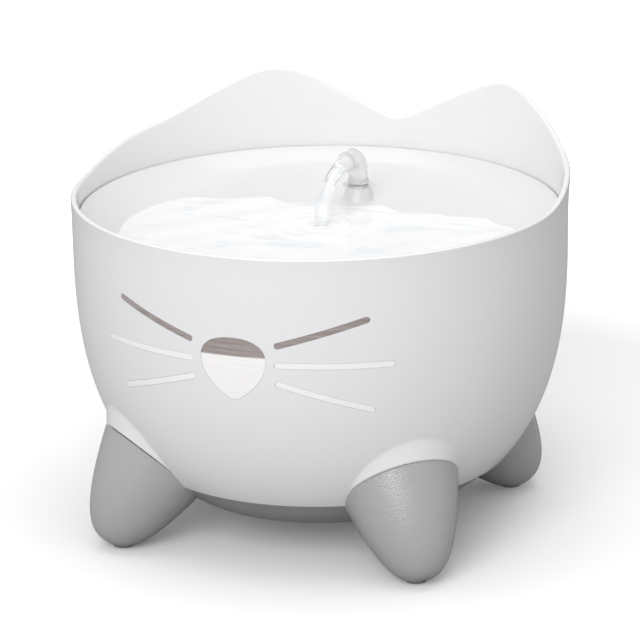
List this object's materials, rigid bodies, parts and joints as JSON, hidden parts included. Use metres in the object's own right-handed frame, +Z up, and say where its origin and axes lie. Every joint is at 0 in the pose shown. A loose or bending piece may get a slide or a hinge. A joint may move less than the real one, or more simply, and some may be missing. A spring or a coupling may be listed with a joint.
{
  "type": "pet water fountain",
  "caption": "Round pet water fountain with a rim that rises into ear points, a lift-out drinking dish, a clear swivelling spout, a pump and filter inside, and cone legs.",
  "frame": {"origin": "on the floor plane, on the axis of the round body", "axes": "+Z up; -Y is the front with the water-level windows; +Y is the back with the ear points and the power inlet"},
  "size_m": [0.2416, 0.2417, 0.1955],
  "materials": {
    "shell": "glossy",
    "lens": "clear",
    "dish": "glossy",
    "gray_matte": "fine matte",
    "pan": "satin",
    "seal": "soft",
    "dark_rubber": "matte",
    "screw": "plain",
    "clear": "clear",
    "board": "satin",
    "copper": "lacquered wire",
    "dark_plastic": "matte",
    "ceramic": "polished",
    "housing": "glossy",
    "foam": "open foam",
    "carbon": "granules",
    "magnet": "sintered"
  },
  "bodies": {
    "tank": {"outer_shell": "shell", "face_window": "lens", "window_seal": "seal", "base_pan": "pan", "base_seal": "seal", "base_screws": "screw", "leg_front_left": "gray_matte", "leg_front_right": "gray_matte", "leg_rear_left": "gray_matte", "leg_rear_right": "gray_matte", "leg_screws": "screw", "foot_pads": "dark_rubber", "power_socket": "screw", "socket_tongue": "dark_plastic", "control_board": "board", "board_screws": "screw", "lead_gland": "dark_rubber", "pump_lead": "dark_rubber", "suction_feet": "dark_rubber", "pump_body": "dark_plastic", "motor_coil": "copper", "motor_core": "screw", "pump_shaft": "ceramic", "shaft_bushes": "dark_rubber", "volute_cover": "dark_plastic", "intake_grille": "dark_plastic", "cover_screws": "screw", "riser_tube": "clear", "pump_housing": "housing"},
    "rotor": {"rotor_magnet": "magnet", "impeller": "ceramic"},
    "filter": {"filter_frame": "housing", "filter_foam": "foam", "carbon_bed": "carbon"},
    "dish": {"drinking_dish": "dish", "riser_seal": "seal"},
    "collar": {"spout_collar": "clear", "collar_seal": "seal"},
    "spout": {"spout_tube": "clear"}
  },
  "joints": [
    {"name": "dish_lift", "type": "slide", "parent": "tank", "child": "dish", "axis": [0, 0, 1], "range_m": [0, 0.13]},
    {"name": "filter_lift", "type": "slide", "parent": "tank", "child": "filter", "axis": [0, 0, 1], "range_m": [0, 0.1105]},
    {"name": "spout_swivel", "type": "hinge", "parent": "dish", "child": "collar", "pos_m": [0, 0.0565, 0.151], "axis": [0, 0, 1], "range_deg": [-60, 60]},
    {"name": "spout_lift", "type": "slide", "parent": "collar", "child": "spout", "axis": [0, 0, 1], "range_m": [0, 0.025]},
    {"name": "impeller_spin", "type": "hinge", "parent": "tank", "child": "rotor", "pos_m": [0, 0.0465, 0.06205], "axis": [0, 1, 0], "continuous": true}
  ],
  "couplings": [
    {"joint": "filter_lift", "follows": "dish_lift", "ratio": 0.85}
  ]
}
